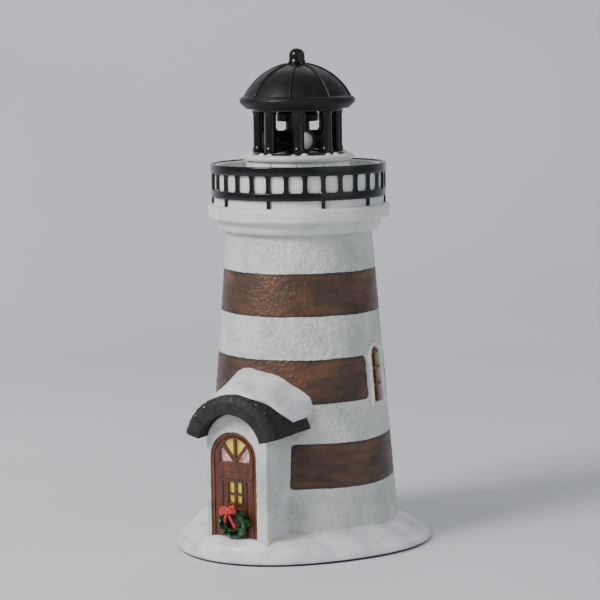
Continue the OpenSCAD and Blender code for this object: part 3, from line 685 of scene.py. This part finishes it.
def make_snow_base():
    """Snow that rises from the base's rim to the walls, and the underside's steps."""
    outline_gap = 0.12
    inner_r = 41.0
    turns = around(480)
    steps = 34
    foot = [(outline_r(a) - outline_gap - 0.5, heading(a)) for a in turns]
    rows = [[(r * x, r * y, FELT_TOP_Z) for r, (x, y) in foot]]
    for k in range(steps + 1):
        row = []
        for a in turns:
            x, y = heading(a)
            outer = outline_r(a) - outline_gap
            inward = (outer - inner_r) * (k / steps) ** 1.7
            r = outer - inward
            z = snow_height(a, inward + 0.02)
            away = wall_distance(r * x, r * y)
            z += 0.8 * math.exp(-away / 1.3) * smooth(inward / 3)
            calm = smooth(inward / 2.5)
            z += calm * (lumps((r * x, r * y, 0), 9, 0.28) + lumps((r * x, r * y, 7), 2.4, 0.09))
            row.append((r * x, r * y, z))
        rows.append(row)
    rows += [level_ring(turns, r, z) for r, z in (
        (inner_r, SEAT_Z), (WELL_R, SEAT_Z), (WELL_R, WELL_Z), (RECESS_R, WELL_Z),
        (RECESS_R, FELT_TOP_Z))]
    shape = Shape().loft(rows, closed=True)
    shape.piece("snow_covered_base", snow, "snow_ceramic", ["snow_base"], crease=60)


# ---------------- tower

def paint_depth(point):
    """How far inside a painted band a point of the tower is; negative outside."""
    turn = math.atan2(point.x, -point.y)
    angle = math.degrees(turn)
    z = point.z
    corner = 2.2
    deepest = -4.0
    for low, high, gap_heading, half_gap in BANDS:
        wave = 0.45 * noise.noise(Vector((math.sin(turn) * 2.2, math.cos(turn) * 2.2, low)))
        inside_z = min(z - low - wave, high - z + wave)
        inside_side = corner
        if gap_heading is not None:
            inside_side = math.radians(abs(signed(angle - gap_heading))) * tower_r(z) - half_gap
        short = math.hypot(max(0.0, corner - inside_z), max(0.0, corner - inside_side))
        deepest = max(deepest, corner - short)
    return deepest


def tower_relief(point):
    """Rough stucco, calmer on the painted bands, which stand a hair proud."""
    if math.hypot(point.x, point.y) < tower_r(point.z) - 1:
        return 0.0
    painted = smooth((paint_depth(point) + 0.4) / 0.8)
    grain = lumps(point, 1.9, 0.32, 3) + lumps(point, 7, 0.07)
    streak = lumps((point.x * 0.4, point.y * 0.4, point.z * 2), 2.2, 0.06)
    return grain * (1 - 0.75 * painted) + streak * painted + 0.1 * painted


def make_tower():
    """The tapering wall, left open behind the side window's frame."""
    turns = around(400)
    steps = 230
    outer = [SEAT_Z + (TOWER_TOP_Z - SEAT_Z) * k / steps for k in range(steps + 1)]
    rows = [level_ring(turns, tower_r(z), z) for z in outer]
    rows += [level_ring(turns, tower_r(z) - TOWER_WALL, z) for z in (TOWER_TOP_Z, SEAT_Z)]
    hidden = 0.9

    def in_window(p):
        if p.x < tower_r(p.z) - 2.5:
            return False
        half_w = WINDOW_HALF_W - hidden
        above = p.z - WINDOW_Z - (WINDOW_HALF_H - WINDOW_HALF_W)
        if above > 0:
            return math.hypot(p.y, above) < half_w
        return abs(p.y) < half_w and p.z > WINDOW_Z - WINDOW_HALF_H + hidden

    shape = Shape().loft(rows, closed=True, skip=in_window)
    tower = shape.piece("stucco_tower", banded_stucco, "tower_ceramic", ["tower_shell"],
                        relief=tower_relief, crease=70)
    depths = [paint_depth(v.co / MM) for v in tower.data.vertices]
    layer = tower.data.attributes.new("paint_mm", "FLOAT", "POINT")
    layer.data.foreach_set("value", depths)


def make_side_window():
    """The raised arched frame on the tower's +X side."""
    def frame_outline(depth):
        foot = depth - WINDOW_HALF_H
        return arch_outline(WINDOW_HALF_W - depth, foot, WINDOW_HALF_H - WINDOW_HALF_W)

    profile = rounded([(WINDOW_BORDER, -4), (WINDOW_BORDER, 0.8), (1.3, 1.28), (0.3, 1.28),
                       (0, 0.9), (0, -4)], 0.35)
    shape = Shape().moulding(frame_outline, profile, at_side_window)
    shape.piece("side_window_surround", trim, "window_trim", ["side_window_frame"],
                relief=lambda p: lumps(p, 2.5, 0.05))


# ---------------- porch

def make_porch_walls():
    """The arched walls, rounded over at the front, and the front wall round the door."""
    def outline(half_w, spring_z, x=0.0):
        return arch_outline(half_w, SEAT_Z, spring_z, x, side_steps=60, arc_steps=72)

    def outer(shrink):
        return outline(PORCH_HALF_W - shrink, PORCH_SPRING_Z)

    inner = outline(DOOR_FRAME_HALF_W + 0.05, DOOR_SPRING_Z, DOOR_X)
    soft = 0.9
    rings = [(outer(0), 34 + k * 0.56) for k in range(41)]
    rings += [(outer(soft * (1 - math.cos(turn))), PORCH_FACE - soft + soft * math.sin(turn))
              for turn in quarter(5)[1:]]
    for share in [k / 8 for k in range(1, 9)]:
        rings.append(([(a[0] + (b[0] - a[0]) * share, a[1] + (b[1] - a[1]) * share)
                       for a, b in zip(outer(soft), inner)], PORCH_FACE))
    rings += [(inner, PORCH_FACE - 1), (inner, PORCH_FACE - PORCH_FRONT_WALL)]
    rows = [[facing_front(u, v, out) for u, v in ring] for ring, out in rings]
    shape = Shape().loft(rows, ring=False)
    shape.piece("porch_stucco", stucco, "gallery_ceramic", ["porch_walls"], crease=60,
                relief=lambda p: lumps(p, 1.9, 0.14, 3) + lumps(p, 8, 0.08) - 0.17)


def wall_out(x, z, gap):
    """How far out the tower's wall is at a point of the roof, moved outwards by a gap."""
    return math.sqrt((tower_r(z) + gap) ** 2 - x * x)


def shingle(angle, out):
    """Relief of staggered shingle courses that step down the barrel roof."""
    course_angle = 8.4
    tab = 3.4
    from_ridge = abs(angle - 90) + 3
    course = int(from_ridge / course_angle)
    down = from_ridge / course_angle - course
    across = (out / tab + 0.5 * (course % 2) + 0.3 * noise.noise(Vector((course, 3, 0)))) % 1
    joint = min(across, 1 - across) * tab
    return 0.32 * down - 0.35 + 0.12 * smooth(joint / 0.35) - 0.12


def make_porch_roof():
    """A thick barrel roof of shingles, bevelled at the front and let into the tower."""
    bevel_out, bevel_in = 4.0, 2.6
    corners = [(ROOF_R, 0), (ROOF_R, ROOF_FRONT - bevel_out), (ROOF_R - bevel_in, ROOF_FRONT),
               (ROOF_IN_R, ROOF_FRONT), (ROOF_IN_R, 0)]
    section = finer(rounded(corners, 0.5, 3), 0.6)
    rows = []
    steps = 190
    for k in range(steps + 1):
        angle = ROOF_TIP_ANGLE + (180 - 2 * ROOF_TIP_ANGLE) * k / steps
        turn = math.radians(angle)
        row = []
        for r, out in section:
            x, z = r * math.cos(turn), PORCH_SPRING_Z + r * math.sin(turn)
            start = wall_out(x, z, -1.5)
            place = start + (ROOF_FRONT - start) * out / ROOF_FRONT
            top = smooth((r - ROOF_R + 1.2) / 1.2) * smooth((ROOF_FRONT - place) / 3)
            tip = smooth(min(angle - ROOF_TIP_ANGLE, 180 - ROOF_TIP_ANGLE - angle) / 3)
            rough = lumps((x, place, z), 2.2, 0.12)
            grown = r + top * (shingle(angle, place) + rough) * (0.4 + 0.6 * tip)
            row.append((grown * math.cos(turn), -place, PORCH_SPRING_Z + grown * math.sin(turn)))
        rows.append(row)
    shape = Shape().loft(rows, caps=True)
    shape.piece("shingled_porch_roof", roof_paint, "roof_paint", ["porch_roof"], crease=50)


def make_roof_snow():
    """Snow that lies against the tower, and reaches the roof's front only at its ridge."""
    roof = ROOF_R + 0.05
    half_spread = 63
    steps, out_steps = 120, 30
    upper = [math.sin(a) for a in quarter(out_steps)]

    def edge_out(a):
        up = min(1.0, max(0.0, (min(a, 180 - a) - 26) / 62))
        return 44.6 + 14 * math.sin(math.pi / 2 * up) - 3 * bell(a, 140, 16) + 0.7 * math.sin(a / 5)

    rows = []
    for k in range(steps + 1):
        angle = 90 + half_spread * (2 * k / steps - 1)
        turn = math.radians(angle)
        ends = math.sqrt(max(0.0, 1 - ((angle - 90) / half_spread) ** 6))
        row = []
        for s in upper + [1.0, 0.5, 0.0]:
            under = len(row) > out_steps
            depth = (2.2 + 3.4 * (1 - s) ** 2 + 2.5 * bell(angle, 105, 22) * (1 - s)
                     + 0.3 * math.sin(math.radians(11 * angle + 200 * s)))
            depth *= ends * math.sqrt(max(0.0, 1 - s ** 8))
            depth += 0.0 if under else lumps((angle / 3, s * 9, 4), 1.6, 0.25) * min(1.0, depth / 2)
            r = roof if under else roof + depth
            x, z = r * math.cos(turn), PORCH_SPRING_Z + r * math.sin(turn)
            start = wall_out(x, z, 0.1)
            row.append((x, -start - (edge_out(angle) - start) * s, z))
        rows.append(row)
    shape = Shape().loft(rows, caps=True)
    shape.piece("porch_roof_drift", snow, "snow_ceramic", ["porch_roof_snow"], crease=60)


def make_roof_flecks():
    """Flecks of snow caught along the roof's bevelled front edge."""
    shape = Shape()
    for k in range(34):
        angle = math.radians(26 + 3.8 * k + 3 * noise.noise(Vector((k, 0.3, 0.1))))
        along = min(0.8, max(0.1, 0.45 + 0.9 * noise.noise(Vector((k, 4.6, 0.7)))))
        size = 0.22 + 0.2 * noise.noise(Vector((k, 8.2, 0.4)))
        r, out = ROOF_R - 2.2 * along, ROOF_FRONT - 3.75 * (1 - along)
        centre = (r * math.cos(angle), -out, PORCH_SPRING_Z + r * math.sin(angle))
        rows = []
        for tilt in [math.pi * j / 6 - math.pi / 2 for j in range(7)]:
            flat = max(0.02, math.cos(tilt)) * size
            rows.append([(centre[0] + 1.6 * flat * math.cos(a), centre[1] + flat * math.sin(a),
                          centre[2] + size * math.sin(tilt)) for a in around(10, TURN)])
        shape.loft(rows, caps=True)
    shape.piece("porch_roof_flecks", snow, "snow_ceramic", crease=60)


def make_door():
    """The arched surround, and the mouldings that stand on the leaf."""
    def frame_outline(depth):
        return arch_outline(DOOR_FRAME_HALF_W - depth, SEAT_Z + 0.1, DOOR_SPRING_Z, DOOR_X)

    proud = PORCH_FACE - 0.8
    reach = DOOR_FRAME_BORDER - 0.05
    profile = rounded([(reach, DOOR_BACK), (reach, proud - 0.9), (1.45, proud - 0.7),
                       (1.25, proud), (0.25, proud), (0.02, proud - 0.5), (0.02, DOOR_BACK)], 0.3)
    shape = Shape().moulding(frame_outline, profile)
    shape.piece("door_surround", door_paint, "door_paint", ["door_frame"],
                relief=lambda p: lumps((p.x, p.y, p.z / 3), 1.5, 0.06))
    face = DOOR_BACK + 1.4
    trims = Shape()
    half_w, low, high = 3.15, 25.3, 34.1
    border = 0.75
    for u0, v0, u1, v1 in (
            (-half_w - border, low - border, half_w + border, low),
            (-half_w - border, high, half_w + border, high + border),
            (-half_w - border, low, -half_w, high),
            (half_w, low, half_w + border, high),
            (-8.3, DOOR_TRANSOM_Z - 0.9, 8.3, DOOR_TRANSOM_Z + 0.4),
            (-6.6, DOOR_TRANSOM_Z + 2.0, 6.6, DOOR_TRANSOM_Z + 4.0),
            (-4.9, 10.6, 4.9, 22.8)):
        trims.slab(box_outline(DOOR_X + u0, v0, DOOR_X + u1, v1), face - 0.1, face + 0.42, 0.18)
    trims.piece("door_mouldings", leaf_paint, "door_paint", relief=lambda p: lumps(p, 1.2, 0.03))


def make_wreath():
    """A ring hidden under small pointed leaves, spread over its front by golden steps."""
    wreath = Shape()
    middle_of_ring = Vector(WREATH_AT)
    core_r = 1.35
    rows = []
    for a in around(40, TURN):
        radial = Vector((math.cos(a), 0, math.sin(a)))
        rows.append([middle_of_ring + (WREATH_R + core_r * math.cos(b)) * radial
                     + Vector((0, core_r * math.sin(b), 0)) for b in around(12, TURN)])
    wreath.loft(rows, closed=True)
    leaf_count, leaf_len, leaf_half_w = 560, 2.0, 0.62
    golden_angle, golden_share = 2.39996, 0.618034
    for k in range(leaf_count):
        a = k * golden_angle
        b = math.radians(210) * ((k * golden_share) % 1 - 0.5)
        radial = Vector((math.cos(a), 0, math.sin(a)))
        along = Vector((-math.sin(a), 0, math.cos(a)))
        out = Vector((0, -math.cos(b), 0)) + radial * math.sin(b)
        stray = Vector([noise.noise(Vector((k * 1.7, offset, 0.7))) for offset in (0.3, 5.3, 9.3)])
        tip_way = (out * 0.7 + along * 0.5 + stray * 2.2).normalized()
        root = middle_of_ring + radial * WREATH_R + out
        side = tip_way.cross(out).normalized() * leaf_half_w
        size = 0.75 + 0.8 * abs(noise.noise(Vector((k * 1.3, 9.1, 2.3))))
        middle = root + tip_way * leaf_len * size * 0.45
        tip = root + tip_way * leaf_len * size
        lift = out * 0.22
        first = len(wreath.points)
        wreath.points += map(tuple, (root, middle - side + lift * 0.2, middle + lift,
                                     middle + side + lift * 0.2, tip, middle - lift))
        for face in ((0, 1, 2), (0, 2, 3), (1, 4, 2), (2, 4, 3), (0, 5, 1), (0, 3, 5), (1, 5, 4),
                     (3, 4, 5)):
            wreath.faces.append(tuple(first + i for i in face))
    wreath.piece("leafy_wreath", leaves, "greenery", ["door_wreath"], crease=30)


def make_bow():
    """A ribbon bow with two loops, two tails and a knot, above the wreath."""
    shape = Shape()
    cx, cz = WREATH_AT[0] - 1.6, WREATH_AT[2] + 5.0
    front = DOOR_BACK + 6.2
    width, thick = 2.5, 0.35

    def band(route, half_w):
        """A ribbon along a route of (x, out, z), standing half_w either side of it."""
        rows = []
        for i, (x, out, z) in enumerate(route):
            half = half_w(i / (len(route) - 1))
            ahead = Vector(route[min(i + 1, len(route) - 1)]) - Vector(route[max(i - 1, 0)])
            side = Vector((-ahead.z, 0, ahead.x)).normalized()
            rows.append([(x + side.x * half * w, -(out + d), z + side.z * half * w)
                         for w, d in ((-1, -thick), (-0.6, thick), (0.6, thick), (1, -thick))])
        shape.loft(rows, caps=True)

    for way in (-1, 1):
        loop = []
        for k in range(25):
            t = 2 * math.pi * k / 24
            reach = 1 - math.cos(t)
            loop.append((cx + way * 1.95 * reach, front - 0.4 + 0.9 * math.sin(t),
                         cz + 0.9 + 0.3 * reach + 0.35 * way * reach))
        band(loop, lambda share: width * (0.55 + 0.55 * math.sin(math.pi * share) ** 0.7))
        tail = [(cx + way * (0.4 + 2.2 * t) + 0.6 * t, front - 0.5 + 0.4 * math.sin(5 * t),
                 cz - 0.2 - (5.0 + way) * t) for t in [k / 12 for k in range(13)]]
        band(tail, lambda share: 0.8 + 0.4 * share)
    knot = [(0.01, -1.5), (0.9, -1.35), (1.35, -0.7), (1.45, 0), (1.35, 0.7), (0.9, 1.35),
            (0.01, 1.5)]
    rows = [[(cx + r * math.cos(a), -(front - 0.1) - 0.65 * r * math.sin(a), cz + 0.8 + z)
             for a in around(16, TURN)] for r, z in knot]
    shape.loft(rows, caps=True)
    bow = shape.piece("ribbon_bow", ribbon, "bow_red", ["wreath_bow"], crease=50)
    rounding = bow.modifiers.new("rounding", "SUBSURF")
    rounding.levels = rounding.render_levels = 1


# ---------------- gallery

def make_gallery():
    """Two cornice rings, the parapet and the gallery's floor."""
    profile = rounded([(28.3, 136.5), (34.2, 136.5), (35.5, 137.9), (35.5, 141.8), (39.0, 141.8),
                       (39.6, 142.6), (39.6, 147.1), (38.8, 147.9), (36.8, 147.9), (36.8, 165.0),
                       (34.3, 165.0), (34.3, 156.0), (10, 156.0), (10, 153.5), (28.3, 153.5)],
                      0.9, 5)
    shape = Shape().lathe(finer(profile, 1.1), around(360))
    shape.piece("gallery_mouldings", white_glaze, "gallery_ceramic", ["gallery"], crease=55,
                relief=lambda p: lumps(p, 2.2, 0.045) + lumps(p, 9, 0.07))


def make_railing():
    """Two rails with bars between them that widen at both ends, on short posts."""
    right = [(1.9, 154.1), (1.4, 154.7), (1.1, 155.5), (1.0, 156.6), (1.0, 159.6), (1.1, 160.7),
             (1.4, 161.5), (1.9, 162.1)]
    bar = right + [(-u, v) for u, v in reversed(right)]
    shape = Shape()
    for r_out, z0, z1 in ((38.1, 151.2, 154.6), (38.3, 161.6, 165.6)):
        shape.lathe(rounded(box_outline(RAIL_IN_R, z0, r_out, z1), 0.65), around(240))
    for angle in around(RAIL_BARS):
        shape.slab(bar, 0.1, 1.1, 0.3, at_heading(RAIL_HEADING + angle, RAIL_IN_R))
    for angle in around(RAIL_POSTS):
        shape.slab(box_outline(-0.8, 147.95, 0.8, 151.8), 0.1, 1.05, 0.3,
                   at_heading(RAIL_HEADING + angle, RAIL_IN_R))
    shape.piece("gallery_rails", enamel, "black_metal", ["gallery_railing"],
                relief=lambda p: lumps(p, 3, 0.05))


def make_pedestal():
    """A ring of masonry with grooved joints, under a flange."""
    joints = [27.4 + angle for angle in around(PLINTH_JOINTS)]
    turns = sorted({round(angle, 2) for angle in around(120)}
                   | {round((j + d) % 360, 2) for j in joints for d in (-1.1, -0.6, 0, 0.6, 1.1)})

    def reach(r, z, angle):
        if r < 22 or z > 166.0:
            return r
        nearest = min(abs(signed(angle - j)) for j in joints)
        return r - 0.7 * (1 - smooth((nearest - 0.3) / 0.8))

    profile = rounded([(19.2, 156.05), (22.6, 156.05), (22.6, 165.9), (21.8, 166.3), (21.8, 166.7),
                       (24.0, 167.0), (24.4, 167.7), (24.4, 168.6), (23.6, 169.3), (5.6, 169.3),
                       (5.6, 167.0), (19.2, 167.0)], 0.45)
    shape = Shape().lathe(profile, turns, radius=reach)
    shape.piece("lantern_plinth", white_glaze, "gallery_ceramic", ["lantern_pedestal"], crease=50,
                relief=lambda p: lumps(p, 2, 0.05))


def make_foot_snow():
    """Small drifts that lie against the feet of the lantern's columns."""
    shape = Shape()
    out, foot = 20.2, 169.25
    for k, angle in enumerate(around(COLUMNS)):
        for side in (-1, 1):
            x, y = heading(COLUMN_HEADING + angle + side * 6.5)
            size = 1.35 + 0.5 * noise.noise(Vector((k, side, 0.5)))
            rows = [[(out * x + size * c * math.cos(a), out * y + size * c * math.sin(a),
                      foot + 0.75 * size * h) for a in around(14, TURN)]
                    for c, h in ((1.25, 0), (1.15, 0.25), (0.85, 0.6), (0.45, 0.88), (0.02, 1))]
            shape.loft(rows, caps=True)
    shape.piece("column_foot_snow", snow, "snow_ceramic", crease=60,
                relief=lambda p: lumps(p, 1.2, 0.12))


def make_lantern():
    """The columns with their feet and heads, between two rings."""
    shape = Shape()
    for z0, z1 in ((169.35, 170.5), (188.0, 191.1)):
        shape.lathe(rounded(box_outline(14.2, z0, 19.9, z1), 0.35))
    shaft_r = COLUMN_R - 0.35
    profile = rounded([(0.01, 169.9), (COLUMN_R, 169.9), (COLUMN_R, 172.0), (shaft_r, 172.6),
                       (shaft_r, 186.6), (COLUMN_R, 187.2), (COLUMN_R, 188.6), (0.01, 188.6)],
                      0.25, 3)
    for angle in around(COLUMNS):
        x, y = heading(COLUMN_HEADING + angle)
        shape.lathe(profile, around(30), (COLUMN_RING_R * x, COLUMN_RING_R * y), closed=False)
    shape.piece("lantern_columns", enamel, "black_metal", ["lantern_frame"],
                relief=lambda p: lumps(p, 4, 0.05))


def make_dome():
    """A ribbed dome with a rounded eave."""
    def dome_points(radius, start, end, steps):
        reach = [start + (end - start) * math.sin(a) for a in quarter(steps)]
        return [(x, DOME_CENTRE_Z + math.sqrt(radius * radius - x * x)) for x in reach]

    lip = rounded([(20.0, 188.9), (22.2, 188.95), (23.5, 190.1), (24.9, 191.4), (25.25, 192.6),
                   (24.4, 193.9), (22.9, 194.25)], 0.4)[5:-5]
    outer = list(reversed(dome_points(DOME_R, 4, 22.8, 40)))
    inner = dome_points(DOME_R - 1.8, 4, 21, 16)
    profile = ([(20.0, 188.9)] + lip + outer + [(1.55, 208.2), (1.55, 206.4)] + inner
               + [(20.0, 191.2)])
    shape = Shape().lathe(profile, around(240))
    for angle in around(DOME_RIBS):
        x, y = heading(21 + angle)
        route = [(r * x, r * y, z - 0.05) for r, z in dome_points(DOME_R, 4.2, 23.0, 30)]
        shape.tube(route, 0.68)
    shape.piece("ribbed_dome", dome_paint, "black_metal", ["dome_roof"], crease=50,
                relief=lambda p: lumps(p, 5, 0.07) + lumps(p, 1.5, 0.03))


def make_finial():
    """The button on the dome, with its collar and the peg that holds it."""
    top = [(3.5 * math.cos(a), 211.6 + 3.35 * math.sin(a)) for a in quarter(12)[1:-1]]
    profile = [(0.01, 206.2), (1.5, 206.2), (1.5, 208.25), (3.6, 208.25), (3.85, 208.5),
               (3.85, 209.2), (3.6, 209.6), (3.42, 210.0), (3.48, 211.0)] + top + [(0.01, 214.95)]
    shape = Shape().lathe(profile, around(60), closed=False)
    shape.piece("round_finial", enamel, "black_metal", ["finial"], crease=50,
                relief=lambda p: lumps(p, 1.6, 0.04) - 0.03)


# ---------------- studio

def make_studio():
    """A pale floor that curves up into a backdrop behind the object."""
    finish = Finish("studio_paper", Roughness=0.9)
    finish.colour(finish.ramp(finish.noise(300, 2), *zip((0.3, 0.7), FLOOR_TINTS)))
    toward = Vector((*heading(VIEW_HEADING), 0))
    across = Vector((-toward.y, toward.x, 0))
    reach, bend, top = 6000, 500, 3000
    section = [(reach, 0), *((-bend - bend * math.sin(t), bend - bend * math.cos(t))
                             for t in quarter(24)), (-2 * bend, top)]
    mesh = bpy.data.meshes.new("studio_floor")
    points = [(toward * along + across * side + Vector((0, 0, z))) * MM
              for along, z in section for side in (-reach, reach)]
    faces = [(2 * k, 2 * k + 1, 2 * k + 3, 2 * k + 2) for k in range(len(section) - 1)]
    mesh.from_pydata(points, [], faces)
    mesh.materials.append(finish.material)
    mesh.shade_smooth()
    added("studio_floor", mesh)


def look_at(thing, target, roll=0.0):
    """Turns a camera or light towards a point, with a roll about its line of sight."""
    way = Vector(target) - thing.location
    facing = way.to_track_quat("-Z", "Y").to_matrix().to_4x4()
    rolled = facing @ Matrix.Rotation(math.radians(roll), 4, "Z")
    thing.matrix_world = Matrix.Translation(thing.location) @ rolled


def add_light(name, angle, distance, height, size, power, tint):
    """A soft square light at a heading, aimed at the object's middle."""
    data = bpy.data.lights.new(name, "AREA")
    data.size = size
    data.energy = power
    data.color = tint
    light = added(name, data)
    x, y = heading(angle)
    light.location = (distance * x, distance * y, height)
    look_at(light, AIM)


def make_camera():
    """The camera, at the angle from which the picture shows the object."""
    data = bpy.data.cameras.new("picture_view")
    data.sensor_width = 36
    data.lens = 36 / 2 / math.tan(math.radians(VIEW_ANGLE / 2))
    camera = added("picture_view", data)
    x, y = heading(VIEW_HEADING)
    camera.location = (VIEW_DISTANCE * x, VIEW_DISTANCE * y, VIEW_HEIGHT)
    look_at(camera, AIM, VIEW_ROLL)
    bpy.context.scene.camera = camera


for make in (make_snow_base, make_tower, make_side_window, make_porch_walls, make_porch_roof,
             make_roof_snow, make_roof_flecks, make_door, make_wreath, make_bow, make_gallery,
             make_railing, make_pedestal, make_foot_snow, make_lantern, make_dome, make_finial,
             make_studio, make_camera):
    make()
# Each light's heading, distance, height, size, power and tint
add_light("key", -26, 1.15, 0.95, 0.5, 19, (1.0, 0.99, 0.97))
add_light("fill", 80, 1.2, 0.6, 1.2, 2.6, (0.95, 0.97, 1.0))
add_light("rim", 205, 1.1, 0.9, 0.8, 6, (0.97, 0.98, 1.0))

world = bpy.data.worlds.new("soft_room")
world.use_nodes = True
room = world.node_tree.nodes["Background"]
room.inputs["Color"].default_value = (0.80, 0.83, 0.88, 1)
room.inputs["Strength"].default_value = 0.45
bpy.context.scene.world = world
